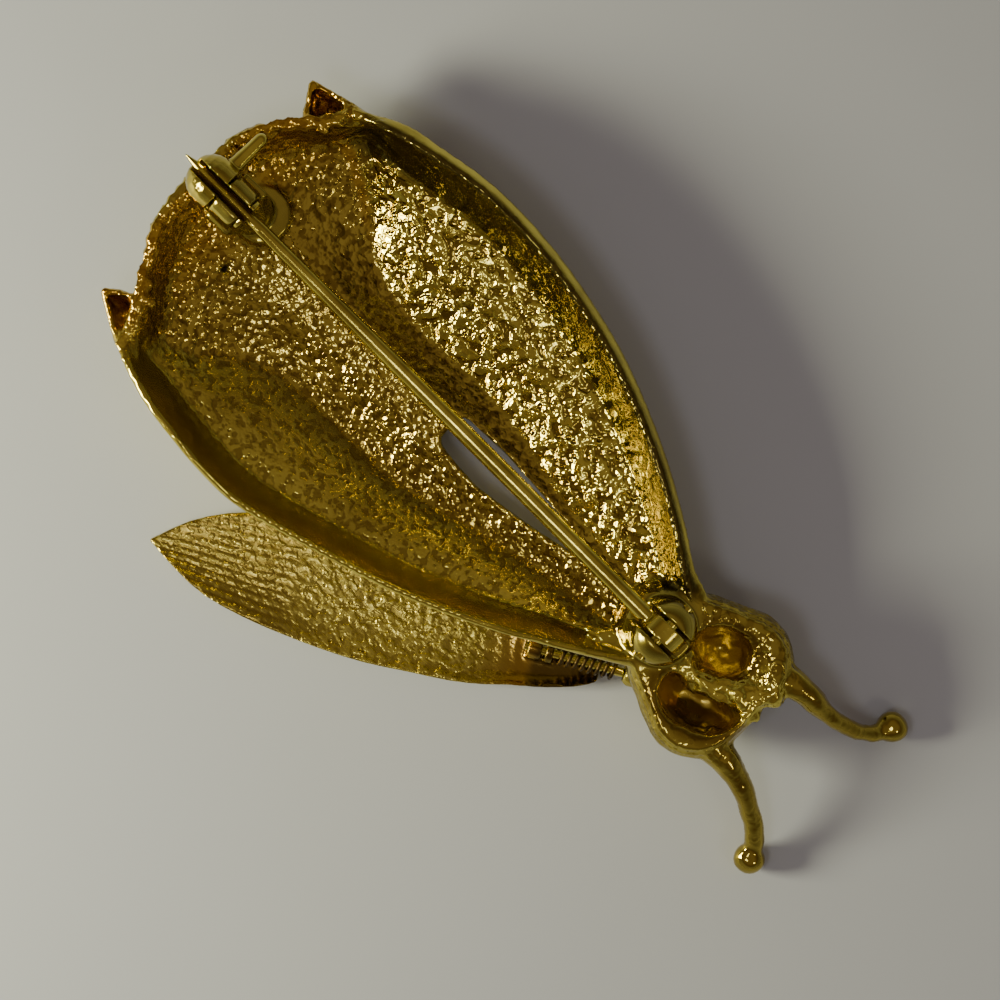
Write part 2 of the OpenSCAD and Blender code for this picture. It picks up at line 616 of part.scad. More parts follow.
module wing_spring() {
  start = spring_from + wire_r;
  length = spring_l - 2 * wire_r;
  segments = 10;
  steps = spring_turns * segments;
  color(gold) placed() in_wing_frame() tube([for (i = [0:steps]) let (a = 360 * i / segments)
    [start + length * i / steps, spring_r * cos(a), spring_r * sin(a), wire_r]]);
}

body_casting();
pin_rivet();
pin_stem();
catch_rotor();
side_wing();
wing_axle();
wing_spring();
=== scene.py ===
"""Insect brooch: the gold plate, the pebbled casting and the studio, laid over the fixed CAD frame."""
import math
import bmesh
import bpy
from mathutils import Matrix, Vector, noise


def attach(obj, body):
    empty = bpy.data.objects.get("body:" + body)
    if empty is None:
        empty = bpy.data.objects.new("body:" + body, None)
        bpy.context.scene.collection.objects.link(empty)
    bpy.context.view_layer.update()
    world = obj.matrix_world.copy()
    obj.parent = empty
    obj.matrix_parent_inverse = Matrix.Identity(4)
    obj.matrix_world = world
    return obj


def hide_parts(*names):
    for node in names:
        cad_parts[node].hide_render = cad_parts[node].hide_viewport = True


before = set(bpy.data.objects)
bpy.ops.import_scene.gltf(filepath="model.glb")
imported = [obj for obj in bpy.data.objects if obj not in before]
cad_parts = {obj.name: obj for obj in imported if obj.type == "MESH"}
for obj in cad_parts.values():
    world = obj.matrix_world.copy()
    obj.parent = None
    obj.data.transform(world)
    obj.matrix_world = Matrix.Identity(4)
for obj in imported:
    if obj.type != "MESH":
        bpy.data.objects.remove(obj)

bl_info = {
    "name": "Insect brooch",
    "version": (1, 0, 0),
    "blender": (4, 5, 0),
    "location": "3D View > Sidebar > Brooch",
    "description": "Dresses the brooch's solids in worn gold plate and sets up its studio",
    "category": "Object",
}

MM = 0.001

# The line of the tail's corners and the body's middle line, in millimetres of the frame. Places on the body
# are given from them, along towards the head, across towards the right lobe, and up from the table
TAIL_X = -21.676
CENTRE_Y = 2.766

# Along the body: the right lobe's edge, the left lobe's edge, the right valley and the left valley,
# each as its distance from the middle line
HALF_WIDTHS = [
    (0.0, 9.5, 10.3, 8.6, 8.6), (1.5, 10.0, 10.8, 8.35, 8.2), (3.6, 10.6, 11.4, 7.2, 7.3),
    (5.8, 11.1, 11.7, 5.8, 5.95), (8.2, 11.5, 11.9, 3.8, 4.75), (10.9, 11.6, 11.85, 3.0, 4.45),
    (13.9, 11.4, 11.1, 2.9, 4.45), (17.0, 10.9, 10.2, 3.0, 4.35), (20.4, 10.1, 9.2, 2.55, 3.55),
    (23.8, 8.85, 7.85, 1.75, 2.55), (27.2, 7.3, 6.2, 1.45, 1.9), (30.3, 5.5, 4.4, 1.3, 1.55),
    (32.5, 4.0, 3.0, 1.1, 1.2), (34.0, 3.5, 1.95, 0.9, 0.95),
]

# Places along and across: the catch's foot, the ears, how far across the pin lies, and the pit near the catch
CATCH_FOOT = (0.3, 1.05)
EARS = (33.6, 0.4)
PIN_ACROSS = 0.4
DARK_PIT = (1.0, -2.7)

# The head's two oval cups, each as its middle, half its length and half its width, and how far they are turned
CUPS = (((36.9, 1.95), 1.77, 1.53), ((38.0, -1.0), 2.6, 1.68))
CUP_TURN = math.radians(20.0)

# Middle lines of the solder bar between the cups
SOLDER_BAR = [
    ((35.5, 0.25), (36.9, -0.3)), ((36.9, -0.3), (39.0, 0.8)),
    ((39.0, 0.8), (40.7, 0.75)), ((39.2, 1.2), (40.8, 2.3)),
]

# How wide the walls inside the rim are, seen from above, and how much of the walls' relief, roughness and
# painted shade the left one takes beside the right one
RIGHT_WALL = 2.25
LEFT_WALL = 1.9
LEFT_WALL_SHARE = 0.22

# The tail's thick rim bows out by its depth over its half width, and carries lumps at an even pitch
TAIL_BOW = 4.2
TAIL_HALF = 8.0
LUMP_PITCH = 0.82

# The side wing's hinge in millimetres of the frame, and how far the wing is turned from the body
WING_HINGE = (12.024, -0.234)
WING_TURN = math.radians(29.4)

# Sizes of the cast grain, in millimetres
PEBBLE_SIZE = 0.62
BEAD_SIZE = 0.4
SPECK_SIZE = 0.2

# Starts the noise that the pebbles wander by, which is otherwise different in every run
PEBBLE_SEED = 7

# The lights: name, place by the photo's directions, side, power and colour
LIGHTS = (
    ("low_light", (-0.128, -0.010, 0.065), 0.045, 0.33, (1.0, 0.95, 0.58)),
    ("high_light", (-0.052, -0.048, 0.24), 0.05, 0.045, (1.0, 0.99, 0.96)),
    ("tail_light", (0.078, -0.070, 0.10), 0.02, 0.008, (1.0, 0.92, 0.62)),
)
TABLE_HALF = 0.6

# The camera looks straight down from beside the middle of the frame, turned as the photo is
CAMERA_ASIDE = (0.00003, 0.0019)
CAMERA_TURN = math.radians(45.0)

# What is noted on the casting's points for its material
NOTED_ZONES = (
    "floor", "walls", "fine", "even", "head", "bar", "limbs", "shade", "cups", "smooth", "warm_and_reflection", "darkened_pit",
)


class BroochSizes(bpy.types.PropertyGroup):
    """Sizes of the worn surface and of the studio."""

    casting_grain: bpy.props.FloatProperty(
        name="Casting mesh", description="Spacing of the points on the casting's skin",
        default=0.18 * MM, min=0.1 * MM, max=0.4 * MM, unit="LENGTH", precision=6)
    wing_grain: bpy.props.FloatProperty(
        name="Wing mesh", description="Spacing of the points on the side wing's skin",
        default=0.11 * MM, min=0.08 * MM, max=0.3 * MM, unit="LENGTH", precision=6)
    finding_grain: bpy.props.FloatProperty(
        name="Finding mesh", description="Spacing of the points on the pin and the catch",
        default=0.06 * MM, min=0.04 * MM, max=0.2 * MM, unit="LENGTH", precision=6)
    coil_grain: bpy.props.FloatProperty(
        name="Coil mesh", description="Spacing of the points on the wing's coil",
        default=0.04 * MM, min=0.03 * MM, max=0.1 * MM, unit="LENGTH", precision=6)
    pebble_height: bpy.props.FloatProperty(
        name="Pebble height", description="How far the casting's pebbles stand out",
        default=0.06 * MM, min=0.0, max=0.2 * MM, unit="LENGTH", precision=6)
    wing_height: bpy.props.FloatProperty(
        name="Wing relief", description="How far the side wing's veins and ridges stand out",
        default=0.05 * MM, min=0.0, max=0.2 * MM, unit="LENGTH", precision=6)
    camera_height: bpy.props.FloatProperty(
        name="Camera height", description="Height of the camera over the table",
        default=0.25, min=0.1, max=1.0, unit="LENGTH")
    lens: bpy.props.FloatProperty(
        name="Lens", description="Focal length of the camera, in millimetres",
        default=153.4, min=20.0, max=300.0, unit="CAMERA")


class BroochColours(bpy.types.PropertyGroup):
    """Colours of the plate, the wire and the table."""

    plate: bpy.props.FloatVectorProperty(
        name="Gold plate", description="The plate where it catches the light",
        subtype="COLOR", size=3, min=0, max=1, default=(0.72, 0.61, 0.115))
    # Also the colour of the painted shade in the grain's pits and in the shade zone
    deep_plate_and_shade: bpy.props.FloatVectorProperty(
        name="Deep plate", description="The plate in hollows, which is more orange",
        subtype="COLOR", size=3, min=0, max=1, default=(0.22, 0.138, 0.022))
    # Olive, dull plate that paints the shade on the steep walls inside the rim; it also darkens the findings
    # and the wing's lugs
    dull_shade_plate: bpy.props.FloatVectorProperty(
        name="Dull plate", description="The plate on the steep walls inside the rim, which is olive and dull",
        subtype="COLOR", size=3, min=0, max=1, default=(0.07, 0.052, 0.018))
    cup_plate: bpy.props.FloatVectorProperty(
        name="Cup plate", description="The browner plate inside the head's cups and on the floor's middle",
        subtype="COLOR", size=3, min=0, max=1, default=(0.48, 0.31, 0.065))
    # Also the colour of a painted orange reflection of the bright right lobe, on a strip beside the right
    # valley near the tail
    warm_plate_and_reflection: bpy.props.FloatVectorProperty(
        name="Warm plate", description="The orange plate on the floor by the tail",
        subtype="COLOR", size=3, min=0, max=1, default=(0.62, 0.33, 0.035))
    wing_plate: bpy.props.FloatVectorProperty(
        name="Wing plate", description="The satin plate of the side wing",
        subtype="COLOR", size=3, min=0, max=1, default=(0.51, 0.42, 0.095))
    wing_root: bpy.props.FloatVectorProperty(
        name="Wing root", description="The smooth brown plate at the side wing's root",
        subtype="COLOR", size=3, min=0, max=1, default=(0.36, 0.2, 0.035))
    pit: bpy.props.FloatVectorProperty(
        name="Pit", description="The dark pit near the catch",
        subtype="COLOR", size=3, min=0, max=1, default=(0.02, 0.014, 0.01))
    wire: bpy.props.FloatVectorProperty(
        name="Spring wire", description="The darkened wire of the wing's coil",
        subtype="COLOR", size=3, min=0, max=1, default=(0.03, 0.02, 0.01))
    rubbed_wire: bpy.props.FloatVectorProperty(
        name="Rubbed wire", description="The coil's wire where it is rubbed brighter",
        subtype="COLOR", size=3, min=0, max=1, default=(0.13, 0.085, 0.03))
    table: bpy.props.FloatVectorProperty(
        name="Table", description="The pale table under the brooch",
        subtype="COLOR", size=3, min=0, max=1, default=(0.50, 0.532, 0.655))


def smooth_step(low, high, value):
    """0 below low, 1 above high and a soft curve between them."""
    t = min(max((value - low) / (high - low), 0.0), 1.0)
    return t * t * (3.0 - 2.0 * t)


def body_place(point):
    """A point of the frame as millimetres along from the tail corners, across and up."""
    return point.x / MM - TAIL_X, point.y / MM - CENTRE_Y, point.z / MM


def half_widths(along):
    """The right lobe's and left lobe's half widths and valley lines at a place along the body."""
    for first, second in zip(HALF_WIDTHS, HALF_WIDTHS[1:]):
        if along <= second[0]:
            t = min(max((along - first[0]) / (second[0] - first[0]), 0.0), 1.0)
            return [a + (b - a) * t for a, b in zip(first[1:], second[1:])]
    return list(HALF_WIDTHS[-1][1:])


def finding_share(along, across, up):
    """How much a place belongs to the catch's mount or to the hinge's ears, which are smooth."""
    foot = math.hypot(along - CATCH_FOOT[0], across - CATCH_FOOT[1])
    mount = smooth_step(2.6, 2.0, foot) * smooth_step(3.5, 3.9, up)
    beside_pin = abs(across - PIN_ACROSS)
    barrel = smooth_step(0.65, 0.4, along) * smooth_step(5.9, 6.2, up) * smooth_step(2.2, 1.9, beside_pin)
    from_ears = math.hypot((along - EARS[0]) * 1.15, (across - EARS[1]) * 1.05)
    ears = smooth_step(2.7, 2.3, from_ears) * smooth_step(5.0, 5.5, up)
    return max(mount, barrel, ears)


def cup_distance(along, across):
    """How far a place is from the middle of the nearer of the head's two oval cups, where 1 is its edge."""
    nearest = math.inf
    for (x, y), half_long, half_wide in CUPS:
        dx, dy = along - x, across - y
        long_way = (dx * math.cos(CUP_TURN) + dy * math.sin(CUP_TURN)) / half_long
        wide_way = (dy * math.cos(CUP_TURN) - dx * math.sin(CUP_TURN)) / half_wide
        nearest = min(nearest, math.hypot(long_way, wide_way))
    return nearest


def bar_share(along, across, up):
    """How much a place lies on the rough bar of solder between the cups."""
    nearest = math.inf
    for (x0, y0), (x1, y1) in SOLDER_BAR:
        dx, dy = x1 - x0, y1 - y0
        t = min(max(((along - x0) * dx + (across - y0) * dy) / (dx * dx + dy * dy), 0.0), 1.0)
        nearest = min(nearest, math.hypot(along - x0 - t * dx, across - y0 - t * dy))
    return smooth_step(0.85, 0.65, nearest) * smooth_step(4.0, 4.4, up)


def casting_zones(point, normal):
    """How much a point of the casting belongs to each zone of the worn plate."""
    along, across, up = body_place(point)
    right, left, valley_right, valley_left = half_widths(along)
    on_right = across > 0
    full, valley, wall_width = (right, valley_right, RIGHT_WALL) if on_right else (left, valley_left, LEFT_WALL)
    share = abs(across) / full
    facing_up = smooth_step(0.05, 0.45, normal.z)
    in_body = smooth_step(34.2, 33.0, along) * smooth_step(-4.4, -3.4, along)
    smooth = finding_share(along, across, up)
    wall_from = 1.0 - wall_width / full
    wall = smooth_step(wall_from - 0.03, wall_from + 0.03, share) * in_body * smooth_step(0.0, 2.0, along)
    inner = smooth_step(0.992, 0.955, share) * (1.0 - smooth) * smooth_step(-0.02, 0.15, normal.z)
    floor = facing_up * in_body * (1.0 - wall) * (1.0 - smooth)
    reach = valley - (1.1 * smooth_step(10.0, 6.0, along) if on_right else 0.0)
    middle = smooth_step(reach + 0.4, reach - 0.4, abs(across))
    head = smooth_step(33.6, 34.6, along) * (1.0 - smooth)
    bar = bar_share(along, across, up) * smooth_step(0.0, 0.3, normal.z)
    nearest_cup = cup_distance(along, across)
    in_cup = smooth_step(1.12, 0.92, nearest_cup) * smooth_step(6.2, 5.8, up)
    cup = in_cup * smooth_step(-0.2, 0.1, normal.z) * (1.0 - bar)
    head_rim = head * (1.0 - cup)
    before_limbs = smooth_step(41.5, 40.0, along)
    slanting = smooth_step(0.85, 0.6, normal.z) * smooth_step(-0.1, 0.1, normal.z)
    flank = head_rim * slanting * smooth_step(2.0, 2.8, up) * before_limbs
    rough_rim = head_rim * smooth_step(0.9, 1.7, across) * smooth_step(4.0, 4.5, up) * before_limbs
    # Painted reflection: a strip beside the right valley near the tail takes an orange reflection of the bright
    # right lobe
    reflection_strip = smooth_step(0.5, 0.2, abs(across - valley_right + 1.2)) * smooth_step(7.0, 3.0, along)
    left_valley = smooth_step(1.7, 0.2, abs(across + valley_left)) * smooth_step(6.0, 12.0, along)
    cup_ring = smooth_step(1.45, 1.15, nearest_cup) * (1.0 - bar)
    from_pit = math.hypot(along - DARK_PIT[0], across - DARK_PIT[1])
    return {
        "floor": max(floor, 0.3 * rough_rim * facing_up),
        # The walls' relief and roughness, and the painted shade that darkens them
        "walls": wall * inner * (1.0 if on_right else LEFT_WALL_SHARE),
        "fine": floor * middle,
        "even": floor * (1.0 - middle) * smooth_step(0.0, -1.0, across),
        "head": head_rim * (1.0 - 0.6 * smooth_step(40.5, 42.0, along)),
        "bar": bar * head,
        "limbs": smooth_step(40.8, 42.2, along),
        "shade": max(floor * left_valley, 1.3 * head_rim * cup_ring),
        "cups": head * cup,
        "lines": flank,
        "smooth": smooth,
        "warm_and_reflection": floor * max(smooth_step(2.0, -2.6, along), 0.8 * reflection_strip) * smooth_step(-4.0, -3.2, along),
        # The pit near the catch, pressed in and coloured nearly black
        "darkened_pit": smooth_step(0.34, 0.16, from_pit) * facing_up,
    }


def tail_lumps(along, across, up):
    """How much a place is on the tail's thick rim, and the rounded lumps in a row there, from -1 to 1."""
    edge = -TAIL_BOW * (1.0 - min(abs(across) / TAIL_HALF, 1.0) ** 3)
    behind_edge = smooth_step(1.5, 0.7, along - edge)
    on_rim = behind_edge * smooth_step(3.9, 4.7, up) * smooth_step(8.4, 7.8, abs(across))
    return on_rim, 2.0 * abs(math.sin(math.pi * across / LUMP_PITCH)) - 1.0


def worn_copy(name, node, grain):
    """A merged copy of a CAD solid, rebuilt with even points and softened as cast and tumbled metal is."""
    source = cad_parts[node]
    mesh = bpy.data.meshes.new(name)
    shape = bmesh.new()
    shape.from_mesh(source.data)
    bmesh.ops.remove_doubles(shape, verts=shape.verts, dist=1e-7)
    shape.to_mesh(mesh)
    shape.free()
    piece = bpy.data.objects.new(name, mesh)
    bpy.context.scene.collection.objects.link(piece)
    remesh = piece.modifiers.new("Even points", "REMESH")
    remesh.mode = "VOXEL"
    remesh.voxel_size = grain
    remesh.use_smooth_shade = True
    graph = bpy.context.evaluated_depsgraph_get()
    even = bpy.data.meshes.new_from_object(piece.evaluated_get(graph))
    piece.modifiers.clear()
    piece.data = even
    even.name = name
    bpy.data.meshes.remove(mesh)
    shape = bmesh.new()
    shape.from_mesh(even)
    bmesh.ops.smooth_vert(
        shape, verts=shape.verts, factor=0.5, use_axis_x=True, use_axis_y=True, use_axis_z=True)
    shape.to_mesh(even)
    shape.free()
    even.materials.clear()
    for polygon in even.polygons:
        polygon.use_smooth = True
    return piece


def move_points(mesh, places):
    """Moves the mesh's points to their new places."""
    for vertex, place in zip(mesh.vertices, places):
        vertex.co = place
    mesh.update()


def note_zones(mesh, names):
    """New values on the mesh's points, one for each name."""
    for key in names:
        mesh.attributes.new(key, "FLOAT", "POINT")
    return {key: mesh.attributes[key] for key in names}


def waviness(place, size):
    """Smooth noise with swells of a size in millimetres."""
    return noise.noise(place / (size * MM))


def cell_height(place, size):
    """Rounded pebbles of a size in millimetres, from 0 in the creases between them to 1 on a pebble."""
    near = noise.voronoi(place / (size * MM), distance_metric="DISTANCE", exponent=2.5)[0]
    return min((near[1] - near[0]) * 1.4, 1.0)


def pebbled(piece, height):
    """Raises the cast pebbles, waves and lumps of the casting, and notes its zones on the points."""
    mesh = piece.data
    noted = note_zones(mesh, NOTED_ZONES)
    noise.seed_set(PEBBLE_SEED)
    places = []
    for vertex in mesh.vertices:
        co, normal = vertex.co.copy(), vertex.normal.copy()
        zones = casting_zones(co, normal)
        along, across, up = body_place(co)
        floor, walls, head = zones["floor"], zones["walls"], zones["head"]
        rise = 0.0
        if floor > 0.02:
            wander = 0.12 * MM * noise.noise_vector(co / (0.5 * MM))
            pebble = cell_height(co + wander, PEBBLE_SIZE) - 0.5
            coarse = 1.0 - 0.7 * zones["fine"] - 0.7 * zones["even"]
            rise += floor * (pebble * coarse + 0.7 * waviness(co, 1.3))
        if walls > 0.02:
            rise += walls * (0.5 * waviness(co, 0.9) + 0.35 * waviness(co, 0.45))
        if head > 0.02:
            rise += head * 0.7 * waviness(co, 0.9)
            rise += zones["lines"] * 0.8 * math.sin(2.0 * math.pi * up / 0.5 + 3.0 * waviness(co, 3.0))
        rise += 1.5 * zones["limbs"] * waviness(co, 1.2)
        rise += zones["bar"] * (3.4 * waviness(co, 0.75) + 1.6 * waviness(co, 0.35))
        rise += zones["cups"] * (2.2 * waviness(co, 1.3) + 1.0 * waviness(co, 0.5))
        on_rim, lump = tail_lumps(along, across, up)
        if on_rim > 0.02:
            rise += on_rim * (0.7 * lump + 2.4 * waviness(co, 1.1))
        rise -= 5.0 * zones["darkened_pit"]
        for key, values in noted.items():
            values.data[vertex.index].value = zones[key]
        places.append(co + normal * (rise * height))
    move_points(mesh, places)


def wing_place(point):
    """A point of the frame as millimetres along the side wing from its hinge, and across it."""
    dx, dy = point.x / MM - WING_HINGE[0], point.y / MM - WING_HINGE[1]
    along = -dx * math.cos(WING_TURN) - dy * math.sin(WING_TURN)
    across = dx * math.sin(WING_TURN) - dy * math.cos(WING_TURN)
    return along, across


def wing_relief(piece, height):
    """Raises long veins at the wing's tip, pits in its middle and wavy cross ridges towards its root."""
    mesh = piece.data
    noted = note_zones(mesh, ("veins", "root", "lugs"))
    places = []
    for vertex in mesh.vertices:
        co, normal = vertex.co.copy(), vertex.normal.copy()
        along, across = wing_place(co)
        facing_up = smooth_step(0.3, 0.7, normal.z)
        tip = smooth_step(17.0, 21.0, along)
        root = smooth_step(14.5, 10.5, along) * smooth_step(5.2, 6.6, along)
        middle = smooth_step(10.0, 14.0, along) * (1.0 - 0.7 * tip)
        spread = 1.0 + 0.05 * max(along - 16.0, 0.0)
        vein = math.sin(2.0 * math.pi * across * spread / 0.62 + 1.6 * waviness(co, 2.5))
        vein_depth = 0.22 * tip * vein * max(0.3 + 1.8 * waviness(co, 2.2), 0.0)
        ridge = math.sin(2.0 * math.pi * along / 0.85 + 0.9 * across + 2.4 * waviness(co, 1.5))
        rise = facing_up * (vein_depth + 0.3 * root * ridge + 0.6 * middle * waviness(co, 0.5))
        values = {
            "veins": facing_up * tip * (0.6 - 0.4 * vein),
            "root": facing_up * smooth_step(9.0, 5.5, along),
            "lugs": smooth_step(5.4, 4.8, along) * smooth_step(-1.2, -0.8, across),
        }
        for key, value in values.items():
            noted[key].data[vertex.index].value = value
        places.append(co + normal * (rise * height))
    move_points(mesh, places)


def socket(tree, kind, name, place, default=None):
    """Adds a named socket to a node group."""
    made = tree.interface.new_socket(name=name, in_out=place, socket_type=kind)
    if default is not None:
        made.default_value = default


def add(tree, kind, **values):
    """A node with its settings and the defaults of its inputs. Keys with a capital are inputs."""
    made = tree.nodes.new(kind)
    for key, value in values.items():
        if key[0].isupper():
            made.inputs[key.replace("_", " ")].default_value = value
        else:
            setattr(made, key, value)
    return made


def mathed(tree, operation, first, second=None, third=None, clamp=False):
    """A Math node on sockets or numbers, and its output."""
    made = tree.nodes.new("ShaderNodeMath")
    made.operation = operation
    made.use_clamp = clamp
    for slot, value in zip(made.inputs, (first, second, third)):
        if value is None:
            continue
        if isinstance(value, (int, float)):
            slot.default_value = value
        else:
            tree.links.new(value, slot)
    return made.outputs[0]


def scaled(tree, value, factor):
    """A socket times a number or another socket."""
    return mathed(tree, "MULTIPLY", value, factor)


def mixed(tree, factor, first, second):
    """A colour mix of sockets or colours, and its output."""
    made = tree.nodes.new("ShaderNodeMix")
    made.data_type = "RGBA"
    for slot, value in zip((made.inputs[0], made.inputs[6], made.inputs[7]), (factor, first, second)):
        if isinstance(value, (int, float)):
            slot.default_value = value
        elif isinstance(value, (tuple, list)):
            slot.default_value = (*value[:3], 1.0)
        else:
            tree.links.new(value, slot)
    return made.outputs[2]


def ramped(tree, value, stops):
    """A soft ramp of a socket through (from low, from high, to low, to high), and its output."""
    made = tree.nodes.new("ShaderNodeMapRange")
    made.interpolation_type = "SMOOTHSTEP"
    for name, number in zip(("From Min", "From Max", "To Min", "To Max"), stops):
        made.inputs[name].default_value = number
    tree.links.new(value, made.inputs["Value"])
    return made.outputs[0]


def grain_group():
    """Cast grain of a size in millimetres: plateaus, worm-like creases, ringed pits and round beads, with the
    painted shade of its low places as its own output.
    """
    if "Cast grain" in bpy.data.node_groups:
        return bpy.data.node_groups["Cast grain"]
    tree = bpy.data.node_groups.new("Cast grain", "ShaderNodeTree")
    socket(tree, "NodeSocketVector", "Place", "INPUT")
    socket(tree, "NodeSocketFloat", "Size", "INPUT", 0.4)
    socket(tree, "NodeSocketFloat", "Pits", "INPUT", 0.5)
    for name in ("Height", "Pit shade", "Beads"):
        socket(tree, "NodeSocketFloat", name, "OUTPUT")
    inlet = add(tree, "NodeGroupInput")
    outlet = add(tree, "NodeGroupOutput")
    pitch = mathed(tree, "DIVIDE", 1.0 / MM, inlet.outputs["Size"])
    worms = add(tree, "ShaderNodeTexNoise", Detail=1.0, Roughness=0.35, Distortion=0.25)
    tree.links.new(inlet.outputs["Place"], worms.inputs["Vector"])
    tree.links.new(pitch, worms.inputs["Scale"])
    cells = add(tree, "ShaderNodeTexVoronoi", feature="F1", Randomness=1.0)
    tree.links.new(inlet.outputs["Place"], cells.inputs["Vector"])
    tree.links.new(scaled(tree, pitch, 0.95), cells.inputs["Scale"])
    ring = mathed(tree, "ABSOLUTE", mathed(tree, "SUBTRACT", cells.outputs["Distance"], 0.3))
    rims = ramped(tree, ring, (0.0, 0.2, 1.0, 0.0))
    pit = ramped(tree, cells.outputs["Distance"], (0.12, 0.34, 1.0, 0.0))
    bead = mathed(tree, "SUBTRACT", 1.0, mathed(tree, "POWER", cells.outputs["Distance"], 2.0))
    tree.links.new(scaled(tree, bead, 1.6), outlet.inputs["Beads"])
    plateaus = ramped(tree, worms.outputs["Fac"], (0.36, 0.62, 0.0, 1.0))
    lifted = mathed(tree, "ADD", plateaus, scaled(tree, rims, scaled(tree, inlet.outputs["Pits"], 0.3)))
    height = mathed(tree, "SUBTRACT", lifted, scaled(tree, pit, scaled(tree, inlet.outputs["Pits"], 0.6)))
    tree.links.new(height, outlet.inputs["Height"])
    # Painted shade: the lower the grain, the more the materials darken it
    tree.links.new(ramped(tree, height, (0.05, 0.7, 1.0, 0.0)), outlet.inputs["Pit shade"])
    return tree


def wear_group():
    """Rubbed plate: a slow patchiness and fine scratches that change the colour and the gloss."""
    if "Rubbed plate" in bpy.data.node_groups:
        return bpy.data.node_groups["Rubbed plate"]
    tree = bpy.data.node_groups.new("Rubbed plate", "ShaderNodeTree")
    socket(tree, "NodeSocketVector", "Place", "INPUT")
    socket(tree, "NodeSocketFloat", "Patch", "OUTPUT")
    socket(tree, "NodeSocketFloat", "Scratch", "OUTPUT")
    inlet = add(tree, "NodeGroupInput")
    outlet = add(tree, "NodeGroupOutput")
    patch = add(tree, "ShaderNodeTexNoise", Scale=300.0, Detail=3.0, Roughness=0.6)
    tree.links.new(inlet.outputs["Place"], patch.inputs["Vector"])
    tree.links.new(ramped(tree, patch.outputs["Fac"], (0.35, 0.65, 0.0, 1.0)), outlet.inputs["Patch"])
    stretch = add(tree, "ShaderNodeMapping", Scale=(1.0, 9.0, 9.0))
    tree.links.new(inlet.outputs["Place"], stretch.inputs["Vector"])
    lines = add(tree, "ShaderNodeTexNoise", Scale=900.0, Detail=4.0, Roughness=0.7)
    tree.links.new(stretch.outputs["Vector"], lines.inputs["Vector"])
    tree.links.new(lines.outputs["Fac"], outlet.inputs["Scratch"])
    return tree


def grouped(tree, group, place, **values):
    """A group node with its values, fed by a place."""
    made = tree.nodes.new("ShaderNodeGroup")
    made.node_tree = group
    for key, value in values.items():
        made.inputs[key].default_value = value
    tree.links.new(place, made.inputs["Place"])
    return made


def fresh_material(name, metallic=0.0):
    """An empty node material, with its tree, shader and Object coordinates."""
    material = bpy.data.materials.new(name)
    material.use_nodes = True
    tree = material.node_tree
    tree.nodes.clear()
    shader = add(tree, "ShaderNodeBsdfPrincipled", Metallic=metallic)
    out = add(tree, "ShaderNodeOutputMaterial")
    tree.links.new(shader.outputs[0], out.inputs["Surface"])
    place = add(tree, "ShaderNodeTexCoord").outputs["Object"]
    return material, tree, shader, place


def zone(tree, name):
    """A zone that was noted on the points."""
    return add(tree, "ShaderNodeAttribute", attribute_name=name).outputs["Fac"]


def bumped(tree, shader, height, distance):
    """A bump of a height, over a distance in metres, feeding the shader's normal."""
    made = add(tree, "ShaderNodeBump", Strength=1.0, Distance=distance)
    tree.links.new(height, made.inputs["Height"])
    tree.links.new(made.outputs["Normal"], shader.inputs["Normal"])


def layered(tree, colour, layers):
    """A colour under layers, each a share of the surface, the layer's strength there and its own colour."""
    for share, strength, tint in layers:
        colour = mixed(tree, scaled(tree, share, strength), colour, tuple(tint))
    return colour


